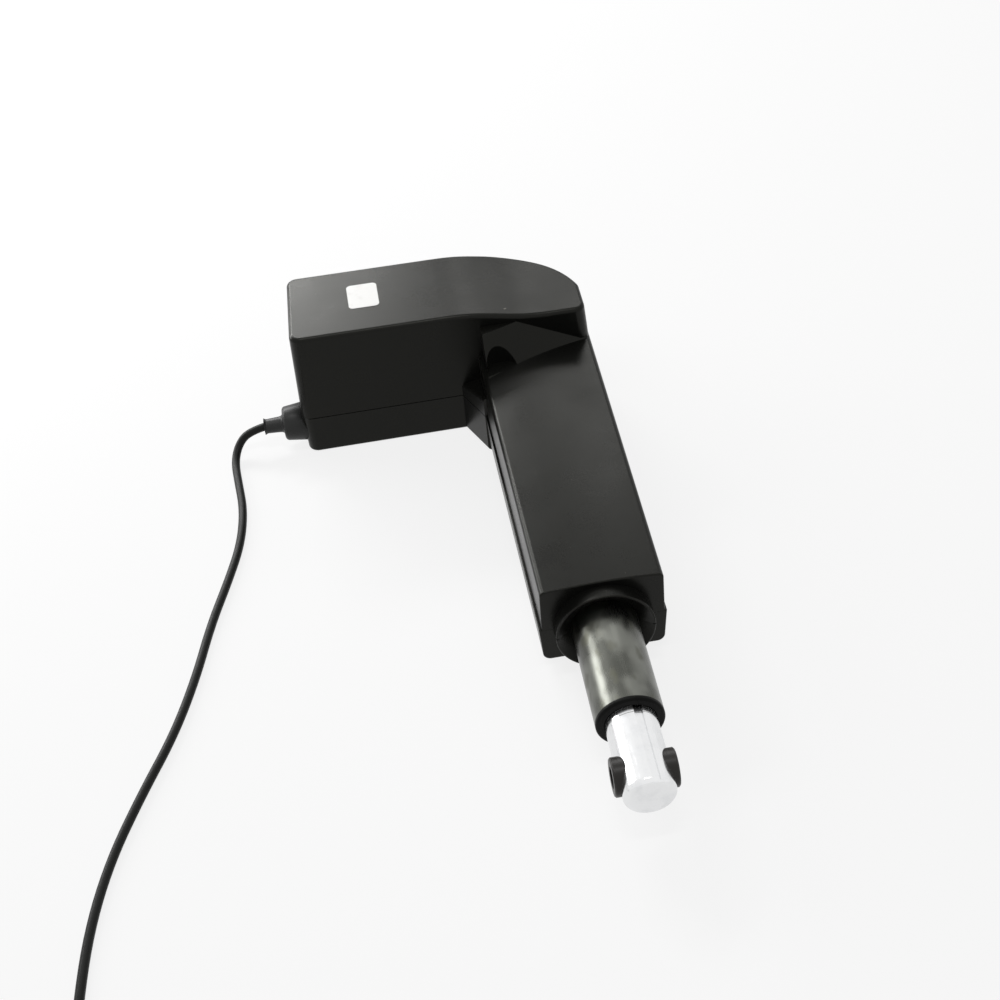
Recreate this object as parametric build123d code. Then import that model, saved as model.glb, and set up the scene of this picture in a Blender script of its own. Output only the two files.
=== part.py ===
from build123d import *
import math
import os

# Electric linear actuator lying on its back. Millimetres. The origin is the middle of the rear
# pivot bore. The rod leaves along -Y, the motor end of the housing points to -X, and the
# parting plane of the two half shells is z = 0, which also holds the spindle's axis.

# Housing: the wide head of the L, seen from its parting plane upwards and downwards
wall = 2.8
head_left = 164.3
head_left_skew = 2.5
head_right = 39.2
head_rear = 15.3
head_under = 88.0
head_high = 68.5
head_top_motor = 66.2
head_top_gear = 58.1
head_bottom = 30.3
head_arc_radius = 63.7
head_arc_x = -24.0
side_draft = 1.6
right_draft = 4.2
wall_draft = 1.0
head_corner = 7.0
head_edge = 2.7
floor_edge = 2.0
swell_start = -60.0
swell_end = 14.0
swell_steps = 8
roof_fall = 0.008

# Column: the slim leg of the L, round the guide tube. Its half widths are given at its end and
# at its root, first on the motor's side and then on the other; the lower shell stands proud.
column_reach = 225.0
column_root_y = -61.0
column_front = 31.4
column_crown = 2.2
column_back = 26.2
column_end_halves = (37.1, 37.2)
column_root_halves = (40.6, 37.9)
column_end_lips = (1.6, 1.4)
column_root_lips = (1.0, 0.9)
column_end_draft = 1.7
column_root_draft = 0.8
column_lean = 0.4
column_edge_front = 3.2
column_edge_back = 5.0
lip_edge = 0.45
end_edge = 0.9

# Gusset in the inner corner of the L, its ends in plan and the two heights of its top
gusset_wide = (-53.5, -87.0)
gusset_far = (-41.5, -113.5)
gusset_low = 9.0
gusset_high = 15.0
gusset_edge = 2.4

# Slanted web from the column's front to the head's wall, with a half round pocket in it
web_right = (35.0, -87.0)
web_left = (-36.3, -113.8)
web_top = (-14.0, -87.0, 56.0)
web_height = 55.0
web_bite = 6.0
pocket_radius = 11.0
pocket_place = (-25.5, -110.0)
pocket_lift = 1.3

# Collar round the tube's exit
boss_radius = 30.0
boss_length = 9.0
boss_edge = 0.7
dish_radius = 28.8
dish_depth = 6.5

# Parting groove, ribs and screw posts
groove_width = 0.6
groove_depth = 0.7
rib = 3.0
rib_pitch = 52.0
rib_count = 4
rib_bite = 0.6
post_radius = 4.4
screw_radius = 2.0
screw_clearance = 0.3
screw_head_radius = 3.6
screw_head_height = 2.6
screw_seat = 12.0
screw_bite = 7.5
post_height = 9.0
screw_slot = 1.0
screw_side = 29.4

# Guide tube, its end ring and wiper
tube_radius = 20.0
tube_bore = 17.0
tube_reach = 66.7
tube_slot_width = 8.0
ring_length = 2.8
ring_edge = 1.6
ring_spigot = 20.0
ring_running = 0.25
wiper_radius = 16.6
wiper_width = 2.4
seat_gap = 0.05
key_width = 4.4
key_clearance = 0.3

# Rod
rod_radius = 15.1
rod_bore = 12.2
rod_inner_start = 96.0
rod_seam = 4.5
rod_end_length = 48.0
rod_end_edge = 3.5
rod_spigot = 16.0
rod_groove_width = 5.0
rod_groove_depth = 1.3
rod_groove_turn = 14.0
cross_hole_back = 17.5
cross_bush_radius = 11.0
cross_bush_proud = 3.0
cross_bore = 6.05
cross_bush_edge = 0.8

# Spindle and nut
stroke = 200.0
spindle_radius = 7.0
spindle_core = 5.5
spindle_length = 312.0
spindle_running = 0.25
nut_flange_radius = 16.7
nut_flange_length = 9.0
nut_body_length = 28.0
nut_lug_reach = 20.9
nut_lug_width = 6.0
tip_guide_radius = 11.8
tip_guide_length = 8.0

# Worm drive
wheel_y = 52.5
wheel_width = 12.0
wheel_teeth = 40
wheel_module = 1.25
wheel_hub_radius = 12.0
centre_distance = 32.0
worm_radius = 6.0
mesh_gap = 0.3
collar_width = 4.0

# Ball bearings beside the wheel
bearing_bore = 5.5
bearing_outer = 13.0
bearing_width = 8.0
bearing_ring = 2.4
ball_radius = 2.2
ball_count = 8
ball_gap = 0.1
bearing_lip = 2.0

# Rear mount
eye_radius = 14.0
eye_width = 30.0
eye_bush_radius = 9.0
pivot_bore = 6.05
mount_neck_width = 20.0
mount_neck_height = 24.0
mount_seat_radius = 17.0
mount_clearance = 0.4
carrier_width = 10.0
carrier_radius = 24.0

# Motor, with its axis the centre distance above the spindle's
motor_radius = 28.5
motor_wall = 2.0
motor_end = 147.0
motor_length = 96.0
end_plate = 5.0
end_boss_radius = 11.0
end_boss_length = 4.0
can_edge = 4.0
shaft_radius = 3.0
shaft_running = 0.06
armature_radius = 17.5
armature_length = 48.0
commutator_radius = 9.0
commutator_length = 14.0
magnet_wall = 7.0
magnet_span = 130.0
magnet_length = 56.0
worm_bearing_radius = 7.0
worm_bearing_length = 7.0
worm_bearing_x = 12.5
motor_screw_circle = 19.0

# Board for the lead, and the travel switches
board_length = 70.0
board_depth = 42.0
board_thick = 1.6
board_lift = 5.0
board_x = -98.0
board_y = -54.0
terminal_pitch = 12.0
terminal_size = 9.0
switch_rail_gap = 0.3
switch_rail_thick = 1.6
switch_thick = 6.4
switch_height = 10.0
switch_length = 20.0
lug_gap = 0.5

# Cable entry
gland_y = -72.0
gland_z = -13.5
gland_radius = 12.0
gland_length = 8.0
gland_cone = 5.0
gland_sleeve_radius = 4.3
gland_sleeve_end = 191.5
gland_lip = 0.5
gland_neck_radius = 8.0
gland_flange = 2.0

# Lead
cable_radius = 2.8
coil_x = -350.0
coil_y = -548.0
coil_middle = 31.0
coil_columns = 3
coil_layers = 2
tail_start_turn = 84.0
plug_start = -8.0
plug_gap = 0.3
plug_length = 34.0
plug_radius = 6.2
plug_collar_length = 9.0
plug_collar_radius = 4.4
shell_length = 11.0
shell_radius = 4.9
shell_wall = 0.7
tie_width = 5.0
tie_thick = 1.0
tie_gap = 0.2
tie_turn = 200.0

# Label
label_x = -110.0
label_y = -48.5
label_length = 20.5
label_width = 26.0
label_thick = 0.25
label_corner = 3.0

# Places that follow from the sizes above
floor_z = -head_bottom
column_end_y = -head_under - column_reach
boss_front_y = column_end_y - boss_length
tube_end_y = boss_front_y - tube_reach
ring_front_y = tube_end_y - ring_length
rod_seam_y = ring_front_y - rod_seam
rod_end_y = rod_seam_y - rod_end_length
cross_hole_y = rod_end_y + cross_hole_back
motor_y = -wheel_y
cable_z = floor_z + cable_radius
carrier_end = -wheel_y - wheel_width / 2 - collar_width - 0.5
tube_inner_y = carrier_end - carrier_width
switch_base = column_front + column_crown - wall - switch_rail_gap - switch_rail_thick


def slope(angle, height):
    return math.tan(math.radians(angle)) * height


def wedge(plane_height, inset):
    """Plan of the head at a height, drawn in by its drafts and by inset."""
    rise = abs(plane_height)
    left = head_left - slope(side_draft, rise) - inset
    right = head_right - slope(right_draft, rise) - inset
    under = head_under - slope(wall_draft, rise) - inset
    rear = head_rear + slope(wall_draft, rise) + inset
    radius = head_arc_radius - slope(wall_draft, rise) - inset
    arc_y = -rear - radius
    reach = right - head_arc_x
    corner_y = arc_y + math.sqrt(radius**2 - reach**2)
    turn = math.atan2(corner_y - arc_y, reach)
    middle = (math.pi / 2 + turn) / 2
    arc_middle = (head_arc_x + radius * math.cos(middle), arc_y + radius * math.sin(middle))
    with BuildSketch(Plane.XY.offset(plane_height)) as plan:
        with BuildLine():
            Line((-left, -under), (-left + head_left_skew, -rear))
            Line((-left + head_left_skew, -rear), (head_arc_x, -rear))
            ThreePointArc((head_arc_x, -rear), arc_middle, (right, corner_y))
            Line((right, corner_y), (right, -under))
            Line((right, -under), (-left, -under))
        make_face()
    return plan.sketch


def roof(inset):
    """Side profile of the head: the high motor end swells down to the gear end."""
    far = head_left + head_right
    swell = []
    for step in range(swell_steps + 1):
        share = step / swell_steps
        eased = share**3 * (10 - 15 * share + 6 * share**2)
        x = swell_start + share * (swell_end - swell_start)
        fall = head_top_motor + (head_top_gear - head_top_motor) * eased
        swell.append((x, fall - roof_fall * (x - swell_start) - inset))
    high = swell[0][1] + roof_fall * (far + swell_start)
    low = swell[-1][1] - roof_fall * (far - swell_end)
    with BuildSketch(Plane.XZ) as profile:
        with BuildLine():
            Line((-far, high), swell[0])
            Spline(*swell, tangents=((1, -roof_fall), (1, -roof_fall)))
            Line(swell[-1], (far, low))
            Line((far, low), (far, floor_z + inset))
            Line((far, floor_z + inset), (-far, floor_z + inset))
            Line((-far, floor_z + inset), (-far, high))
        make_face()
    return extrude(profile.sketch, amount=head_under + head_left, both=True)


def head(inset, rounded=False):
    upper = loft([wedge(0, inset), wedge(head_high, inset)], ruled=True)
    lower = loft([wedge(-head_bottom - 1, inset), wedge(0, inset)], ruled=True)
    if rounded:
        upper = fillet(upper.edges().filter_by(corner), head_corner)
        lower = fillet(lower.edges().filter_by(corner), head_corner)
    body = (upper + lower) & roof(inset)
    if rounded:
        top_face = body.faces().filter_by(lambda f: f.center().Z > head_top_gear - 3)
        body = fillet(top_face.edges().filter_by(lambda e: rim(e, top_face)), head_edge)
        low = body.edges().filter_by(lambda e: e.center().Z < floor_z + 0.2)
        body = fillet(low, floor_edge)
    return body


def corner(edge):
    """True for an upright edge of the head, apart from the seam where its rear arc begins."""
    start, end = edge @ 0, edge @ 1
    return abs(start.Z - end.Z) > head_bottom * 0.9 and abs(start.X - head_arc_x) > 1


def rim(edge, faces):
    """True for an edge that only one of the top faces holds."""
    held = sum(1 for face in faces for other in face.edges() if other.is_same(edge))
    return held == 1


def column_section(y, halves, lips, draft, inset, upper):
    """Outline of the upper or the lower half of the column at y."""
    left, right = (half - inset for half in halves)
    with BuildSketch(Plane.XZ.offset(-y)) as section:
        with BuildLine():
            if upper:
                top = column_front - inset
                front_left, front_right = left - column_lean, right - column_lean
                Line((-left, 0), (-front_left, top))
                ThreePointArc((-front_left, top), (0, top + column_crown), (front_right, top))
                Line((front_right, top), (right, 0))
                Line((right, 0), (-left, 0))
            else:
                low = -column_back + inset
                left, right = left + lips[0], right + lips[1]
                Line((-left, 0), (-left + draft, low))
                Line((-left + draft, low), (right - draft, low))
                Line((right - draft, low), (right, 0))
                Line((right, 0), (-left, 0))
        make_face()
    return section.sketch


def column_half(inset, upper):
    end_y = column_end_y + inset
    end = column_section(end_y, column_end_halves, column_end_lips, column_end_draft, inset, upper)
    root = column_section(
        column_root_y, column_root_halves, column_root_lips, column_root_draft, inset, upper
    )
    return loft([end, root], ruled=True)


def column(inset, rounded=False):
    upper = column_half(inset, True)
    lower = column_half(inset, False)
    if rounded:
        high = upper.edges().filter_by(lambda e: e.length > column_reach and e.center().Z > 1)
        upper = fillet(high, column_edge_front)
        low = lower.edges().filter_by(lambda e: e.length > column_reach and e.center().Z < -1)
        lower = fillet(low, column_edge_back)
        end = upper.faces().sort_by(Axis.Y)[0].edges().filter_by(lambda e: e.center().Z > 1)
        upper = fillet(end, end_edge)
        end = lower.faces().sort_by(Axis.Y)[0].edges().filter_by(lambda e: e.center().Z < -1)
        lower = fillet(end, end_edge)
        lips = lower.edges().filter_by(lambda e: e.length > column_reach and e.center().Z > -0.1)
        lower = fillet(lips, lip_edge)
    return upper + lower


def wall_reach(x, y):
    """How far the upper shell's wall stands from the middle, on the side of x, at y."""
    share = (y - column_end_y) / (column_root_y - column_end_y)
    side = 0 if x < 0 else 1
    end, root = column_end_halves[side], column_root_halves[side]
    return end + share * (root - end)


def gusset(inset, rounded=False):
    """Low web that carries the head's underside into the column's motor side."""
    low = floor_z + inset
    (wide_x, wide_y), (far_x, far_y) = gusset_wide, gusset_far
    wide_x, far_x, far_y = wide_x + inset, far_x + inset, far_y + inset
    inner = -column_end_halves[0] + 5
    with BuildSketch(Plane.XY.offset(low)) as web:
        with BuildLine():
            Line((wide_x, wide_y + 4), (wide_x, wide_y))
            Line((wide_x, wide_y), (far_x, far_y))
            Line((far_x, far_y), (inner, far_y - 2))
            Line((inner, far_y - 2), (inner, wide_y + 4))
            Line((inner, wide_y + 4), (wide_x, wide_y + 4))
        make_face()
    body = extrude(web.sketch, amount=gusset_high + 20 - low)
    rise = Vector(far_x - wide_x, far_y - wide_y, gusset_high - gusset_low)
    across = Vector(1, -0.2, 0.25)
    normal = rise.cross(across)
    if normal.Z < 0:
        normal = normal * -1
    slant = Plane(origin=(wide_x, wide_y, gusset_low - inset), z_dir=normal)
    body = split(body, slant, keep=Keep.BOTTOM)
    if rounded:
        outer = body.edges().filter_by(lambda e: gusset_outer(e))
        body = fillet(outer, gusset_edge)
    return body


def gusset_outer(edge):
    """True for the gusset's top and bottom edges along its slanted face."""
    start, end = edge @ 0, edge @ 1
    turned = abs(abs(start.X - end.X) - abs(gusset_wide[0] - gusset_far[0])) < 0.5
    return turned and abs(abs(start.Y - end.Y) - abs(gusset_wide[1] - gusset_far[1])) < 0.5


def slanted_web(inset):
    """Wedge under the slanted plane, less the pocket; the wall behind it is left by inset."""
    right = Vector(web_right[0], web_right[1], column_front)
    left = Vector(web_left[0], web_left[1], column_front)
    normal = (left - right).cross(Vector(*web_top) - right)
    if normal.Z < 0:
        normal = normal * -1
    normal = normal.normalized()
    slant = Plane(origin=right - normal * inset, z_dir=normal)
    low, high = column_front - web_bite, web_height - inset
    body = block(web_left[0] + inset, web_right[0], web_left[1] - 4, -head_under + web_bite, low, high)
    body = split(body, slant, keep=Keep.BOTTOM)
    floor = low - 1 if inset else column_front + pocket_lift
    return body - along_z(pocket_radius + inset, floor, web_height + 1, *pocket_place)


def boss(inset, edge=0.0):
    body = along_y(boss_radius - inset, boss_front_y + inset, column_end_y + 6)
    if edge:
        body = fillet(body.faces().sort_by(Axis.Y)[0].edges(), edge)
    return body


def along_y(radius, start, end, x=0.0, z=0.0):
    low, high = min(start, end), max(start, end)
    middle = Plane(origin=(x, low, z), z_dir=(0, 1, 0))
    return extrude(middle * Circle(radius), amount=high - low)


def along_x(radius, start, end, y=0.0, z=0.0):
    low, high = min(start, end), max(start, end)
    middle = Plane(origin=(low, y, z), z_dir=(1, 0, 0))
    return extrude(middle * Circle(radius), amount=high - low)


def along_z(radius, start, end, x=0.0, y=0.0):
    low, high = min(start, end), max(start, end)
    return extrude(Plane(origin=(x, y, low)) * Circle(radius), amount=high - low)


def block(x0, x1, y0, y1, z0, z1):
    box = Box(x1 - x0, y1 - y0, z1 - z0)
    return Pos((x0 + x1) / 2, (y0 + y1) / 2, (z0 + z1) / 2) * box


def ring(outer, inner, start, end, z=0.0):
    return along_y(outer, start, end, 0, z) - along_y(inner, start - 1, end + 1, 0, z)


def screw_places():
    """Where the shell screws stand, each with the level its head is sunk from."""
    far_y = column_end_y + wall + post_radius + 6
    places = []
    for step in range(3):
        y = far_y + step * (column_reach - 50) / 2
        places += [(-screw_side, y, -column_back), (screw_side, y, -column_back)]
    left = -head_left + wall + post_radius + 3
    front = -head_under + wall + post_radius + 2
    back = -head_rear - wall - post_radius - 2
    places += [(left, back, floor_z), (left + 1, front + 20, floor_z)]
    places += [(-motor_end + motor_length + 12, back, floor_z)]
    return places


def post_web(x, y):
    """Small rib from an upper screw post to the wall beside it."""
    half = rib / 2
    if y < -head_under:
        reach = math.copysign(wall_reach(x, y) - wall + rib_bite, x)
        return block(min(x, reach), max(x, reach), y - half, y + half, 0, post_height)
    if x < -motor_end:
        return block(-head_left + wall - rib_bite, x, y - half, y + half, 0, post_height)
    return block(x - half, x + half, y, -head_rear - wall + rib_bite, 0, post_height)


def cavity():
    return head(wall) + column(wall) + gusset(wall) + slanted_web(wall)


def tube_seats(inside):
    """Ribs across the column that hold the guide tube, and the motor's cradle ribs."""
    ribs = []
    for step in range(rib_count):
        y = column_end_y + rib_pitch * (step + 0.72)
        ribs.append(block(-60, 60, y, y + rib, -60, 60))
    saddles = ribs[0]
    for extra in ribs[1:]:
        saddles = saddles + extra
    saddles = saddles & column(wall - rib_bite)
    saddles = saddles - along_y(tube_radius + seat_gap, boss_front_y, -head_under)
    half = switch_height / 2 + 1
    saddles = saddles - block(-half, half, column_end_y, -head_under, nut_lug_reach - 3, 60)
    saddles = saddles + carrier_ribs()
    cradle = None
    for share in (0.16, 0.5, 0.84):
        x = -motor_end + motor_length * share
        slab = block(x, x + rib, -100, 0, -8, 60)
        cradle = slab if cradle is None else cradle + slab
    cradle = cradle & head(wall - rib_bite)
    cradle = cradle - along_x(motor_radius + seat_gap, -180, 0, motor_y, centre_distance)
    return saddles, cradle


def carrier_ribs():
    """Two ribs with the bearing carrier's plate between them."""
    reach = column_end_halves[0] - 1.1
    low, high = floor_z + wall - rib_bite, carrier_radius + 3
    front = block(-reach, reach, tube_inner_y - rib, tube_inner_y, low, high)
    front = front - along_y(tube_radius + seat_gap, tube_inner_y - rib - 1, tube_inner_y + 1)
    back = block(-reach, reach, carrier_end, carrier_end + rib, low, high)
    back = back - along_y(bearing_outer, carrier_end - 1, carrier_end + rib + 1)
    return (front + back) & (head(wall - rib_bite) + column(wall - rib_bite))


def shells():
    inside = cavity()
    outside = head(0, True) + column(0, True) + gusset(0, True) + slanted_web(0)
    outside = outside + boss(0, boss_edge)
    skin = head(groove_depth) + column(0) + gusset(groove_depth) + boss(groove_depth)
    case = outside - inside
    saddles, cradle = tube_seats(inside)
    case = case + saddles + cradle
    # way out for the tube, with the dished face round it
    case = case - along_y(tube_radius + seat_gap, boss_front_y - 5, column_end_y + 10)
    dish = Plane(origin=(0, boss_front_y, 0), z_dir=(0, 1, 0))
    low = dish * Circle(dish_radius)
    deep = dish.offset(dish_depth) * Circle(tube_radius + seat_gap)
    case = case - loft([low, deep])
    # groove along the parting line
    band = block(-200, 60, boss_front_y - 1, 0, -groove_width / 2, groove_width / 2)
    case = case - ((outside & band) - skin)
    # opening for the neck of the rear mount
    half_x = mount_neck_width / 2 + mount_clearance
    half_z = mount_neck_height / 2 + mount_clearance
    case = case - block(-half_x, half_x, -45, -10, -half_z, half_z)
    # opening for the cable entry
    case = case - along_x(gland_neck_radius + seat_gap, -head_left - 3, -head_left + 8, gland_y, gland_z)
    # worm bearing's seat hangs from the upper shell
    seat_x = worm_bearing_x + worm_bearing_length / 2
    seat = block(seat_x - rib / 2, seat_x + rib / 2, -90, 0, centre_distance - 8, 70)
    seat = seat & head(wall - rib_bite)
    bearing_hole = along_x(worm_bearing_radius + seat_gap, -10, 60, motor_y, centre_distance)
    case = case + (seat - bearing_hole)
    upper = case & block(-200, 60, -400, 0, 0, 90)
    lower = case & block(-200, 60, -400, 0, -90, 0)
    for x, y, low_z in screw_places():
        floor_top = low_z + wall - rib_bite
        lower = lower + along_z(post_radius, floor_top, 0, x, y)
        sink = along_z(screw_head_radius + screw_clearance, low_z - 1, -screw_seat, x, y)
        lower = lower + along_z(post_radius + 1.2, floor_top, -screw_seat + 2, x, y)
        lower = lower - sink
        lower = lower - along_z(screw_radius + screw_clearance, low_z - 1, 1, x, y)
        post = along_z(post_radius, 0, post_height, x, y) + post_web(x, y)
        upper = upper + (post - along_z(screw_radius + seat_gap, -1, screw_bite + 0.5, x, y))
    return upper, lower


def shell_screws():
    solids = []
    for x, y, low_z in screw_places():
        head_low = -screw_seat - screw_head_height
        screw = along_z(screw_radius, -screw_seat, screw_bite, x, y)
        screw = screw + along_z(screw_head_radius, head_low, -screw_seat, x, y)
        slot = screw_slot / 2
        for turned in (0, 90):
            cut = block(-screw_head_radius * 0.6, screw_head_radius * 0.6, -slot, slot, -1, 1)
            screw = screw - Pos(x, y, head_low) * Rot(0, 0, turned) * cut
        solids.append(screw)
    return solids


def outer_tube():
    tube = ring(tube_radius, tube_bore, tube_end_y, tube_inner_y)
    slot_half = tube_slot_width / 2
    slot_start = -rod_inner_start + nut_flange_length + 1
    slot_end = -rod_inner_start - stroke - 2
    slot = block(-slot_half, slot_half, slot_end, slot_start, 0, tube_radius + 2)
    return tube - slot


def groove_plane():
    return Rot(0, rod_groove_turn, 0)


def rod_groove(start, end):
    half = rod_groove_width / 2
    return groove_plane() * block(-half, half, start, end, rod_radius - rod_groove_depth, rod_radius + 3)


def guide_ring():
    cap = along_y(tube_radius, ring_front_y, tube_end_y)
    cap = fillet(cap.faces().sort_by(Axis.Y)[0].edges(), ring_edge)
    body = cap + along_y(tube_bore - seat_gap, tube_end_y, tube_end_y + ring_spigot)
    body = body - along_y(rod_radius + ring_running, ring_front_y - 1, tube_end_y + ring_spigot + 1)
    seat_start = tube_end_y + 2
    body = body - ring(wiper_radius, rod_radius, seat_start, seat_start + wiper_width)
    half = key_width / 2
    low = rod_radius - rod_groove_depth + key_clearance
    start = seat_start + wiper_width + 2
    tongue = block(-half, half, start, tube_end_y + ring_spigot, low, rod_radius + 1)
    return body + groove_plane() * tongue


def wiper_seal():
    start = tube_end_y + 2 + seat_gap
    body = ring(wiper_radius - seat_gap, rod_radius + ring_running - 0.1, start, start + wiper_width - 0.1)
    return body


def lifting_rod():
    body = ring(rod_radius, rod_bore, rod_seam_y, -rod_inner_start)
    return body - rod_groove(rod_seam_y - 1, -rod_inner_start - nut_flange_length - 10)


def rod_end():
    body = along_y(rod_radius, rod_end_y, rod_seam_y)
    body = fillet(body.faces().sort_by(Axis.Y)[0].edges(), rod_end_edge)
    body = body + along_y(rod_bore - seat_gap, rod_seam_y, rod_seam_y + rod_spigot)
    body = body - rod_groove(rod_end_y - 1, rod_seam_y)
    return body - along_x(cross_bush_radius, -30, 30, cross_hole_y)


def cross_bush():
    half = rod_radius + cross_bush_proud
    bush = along_x(cross_bush_radius, -half, half, cross_hole_y)
    bush = chamfer(bush.edges().filter_by(GeomType.CIRCLE), cross_bush_edge)
    return bush - along_x(cross_bore, -half - 1, half + 1, cross_hole_y)


def spindle():
    start = -wheel_y + wheel_width / 2 + bearing_width + bearing_lip
    body = along_y(spindle_radius, start - spindle_length, tube_inner_y - 6)
    body = body + along_y(bearing_bore, tube_inner_y - 6, start)
    tip = start - spindle_length
    return body + along_y(spindle_core, tip - tip_guide_length - 1.5, tip)


def tip_guide():
    start = -wheel_y + wheel_width / 2 + bearing_width + bearing_lip
    tip = start - spindle_length
    return ring(tip_guide_radius, spindle_core, tip - tip_guide_length, tip)


def spindle_nut():
    flange_end = -rod_inner_start + nut_flange_length
    body = along_y(nut_flange_radius, -rod_inner_start, flange_end)
    body = body + along_y(rod_bore - seat_gap, -rod_inner_start - nut_body_length, -rod_inner_start)
    half = nut_lug_width / 2
    lug = block(-half, half, -rod_inner_start + 1, flange_end - 1, 0, nut_lug_reach)
    body = body + lug
    bore = spindle_radius + spindle_running
    return body - along_y(bore, -rod_inner_start - nut_body_length - 1, flange_end + 1)


def worm_wheel():
    """Wheel whose rim is hollowed to pass round the worm, with a cut for each tooth gap."""
    tip = centre_distance - worm_radius - mesh_gap + wheel_module
    half = wheel_width / 2
    body = along_y(tip, -wheel_y - half, -wheel_y + half)
    throat = worm_radius + mesh_gap
    hollow = Plane.YZ * Pos(-wheel_y, centre_distance) * Circle(throat)
    body = body - revolve(hollow, Axis.Y, 360)
    gap = Polygon(
        (-wheel_module * 0.45, tip - wheel_module * 2.6),
        (wheel_module * 0.45, tip - wheel_module * 2.6),
        (wheel_module * 1.0, tip + 1),
        (-wheel_module * 1.0, tip + 1),
        align=None,
    )
    cut = extrude(Plane(origin=(0, -wheel_y, 0), x_dir=(1, 0, 0), z_dir=(0, -1, 0)) * gap, amount=half + 1, both=True)
    for tooth in range(wheel_teeth):
        body = body - Rot(0, tooth * 360 / wheel_teeth, 0) * cut
    dish = ring(tip - wheel_module * 5, wheel_hub_radius, -wheel_y - half - 1, -wheel_y - half + 3)
    body = body - dish
    return body - along_y(bearing_bore, -wheel_y - half - 1, -wheel_y + half + 1)


def bearing(start):
    """Ball bearing from start towards +Y: outer ring, inner ring and balls."""
    end = start + bearing_width
    middle = (start + end) / 2
    track = (bearing_bore + bearing_outer) / 2
    groove = Plane.YZ * Pos(middle, track) * Circle(ball_radius + ball_gap)
    track_cut = revolve(groove, Axis.Y, 360)
    outer = ring(bearing_outer, bearing_outer - bearing_ring, start, end) - track_cut
    inner = ring(bearing_bore + bearing_ring, bearing_bore, start, end) - track_cut
    balls = []
    for step in range(ball_count):
        turn = math.radians(360 / ball_count * step)
        place = Pos(track * math.cos(turn), middle, track * math.sin(turn))
        balls.append(place * Sphere(ball_radius))
    return outer, inner, balls


def rear_mount():
    seat_start = -wheel_y + wheel_width / 2
    seat_end = seat_start + bearing_width + bearing_lip + 1
    body = along_y(mount_seat_radius, seat_start, seat_end)
    half_x, half_z = mount_neck_width / 2, mount_neck_height / 2
    body = body + block(-half_x, half_x, seat_end - 3, 0, -half_z, half_z)
    eye = along_x(eye_radius, -eye_width / 2, eye_width / 2)
    eye = chamfer(eye.edges().filter_by(GeomType.CIRCLE), 1.2)
    body = body + eye
    body = body - along_x(eye_bush_radius, -eye_width, eye_width)
    body = body - along_y(bearing_outer, seat_start - 1, seat_start + bearing_width)
    return body - along_y(bearing_bore + bearing_ring, seat_start, seat_end - 0.5)


def rear_bush():
    half = eye_width / 2 + 1
    bush = along_x(eye_bush_radius, -half, half)
    bush = chamfer(bush.edges().filter_by(GeomType.CIRCLE), 0.6)
    return bush - along_x(pivot_bore, -half - 1, half + 1)


def bearing_carrier():
    """Plate that seats the front bearing, and whose spigot holds the tube's inner end."""
    start, end = tube_inner_y, carrier_end
    body = along_y(carrier_radius, start, end)
    body = body + block(-carrier_radius, carrier_radius, start, end, -20, 20)
    body = body - along_y(bearing_outer, end - bearing_width, end + 1)
    return body - along_y(spindle_radius + 1.5, start - 1, end + 1)


def motor_can():
    far = -motor_end
    near = -motor_end + motor_length
    can = along_x(motor_radius, far, near, motor_y, centre_distance)
    can = fillet(can.faces().sort_by(Axis.X)[0].edges(), can_edge)
    can = can + along_x(end_boss_radius, far - end_boss_length, far, motor_y, centre_distance)
    can = can - along_x(motor_radius - motor_wall, far + motor_wall, near + 1, motor_y, centre_distance)
    hole = shaft_radius + shaft_running
    return can - along_x(hole, far - 2.5, near, motor_y, centre_distance)


def motor_end_plate():
    near = -motor_end + motor_length
    plate = along_x(motor_radius, near, near + end_plate, motor_y, centre_distance)
    plate = plate + along_x(end_boss_radius, near, near + end_plate + 3, motor_y, centre_distance)
    for z in (-motor_screw_circle, motor_screw_circle):
        plate = plate - along_x(2.2, near - 1, near + end_plate + 1, motor_y, centre_distance + z)
    hole = shaft_radius + shaft_running
    return plate - along_x(hole, near - 1, near + end_plate + 5, motor_y, centre_distance)


def motor_screws():
    near = -motor_end + motor_length
    screws = []
    for z in (-motor_screw_circle, motor_screw_circle):
        body = along_x(2.1, near - 6, near + end_plate, motor_y, centre_distance + z)
        screws.append(body + along_x(3.6, near + end_plate, near + end_plate + 2.4, motor_y, centre_distance + z))
    return screws


def motor_magnets():
    outer = motor_radius - motor_wall
    middle = -motor_end + motor_length * 0.5
    start, end = middle - magnet_length / 2, middle + magnet_length / 2
    tube = along_x(outer, start, end, motor_y, centre_distance)
    tube = tube - along_x(outer - magnet_wall, start - 1, end + 1, motor_y, centre_distance)
    half_gap = outer * math.sin(math.radians((180 - magnet_span) / 2))
    z = centre_distance
    tube = tube - block(start - 1, end + 1, motor_y - 40, motor_y + 40, z - half_gap, z + half_gap)
    return list(tube.solids())


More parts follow.
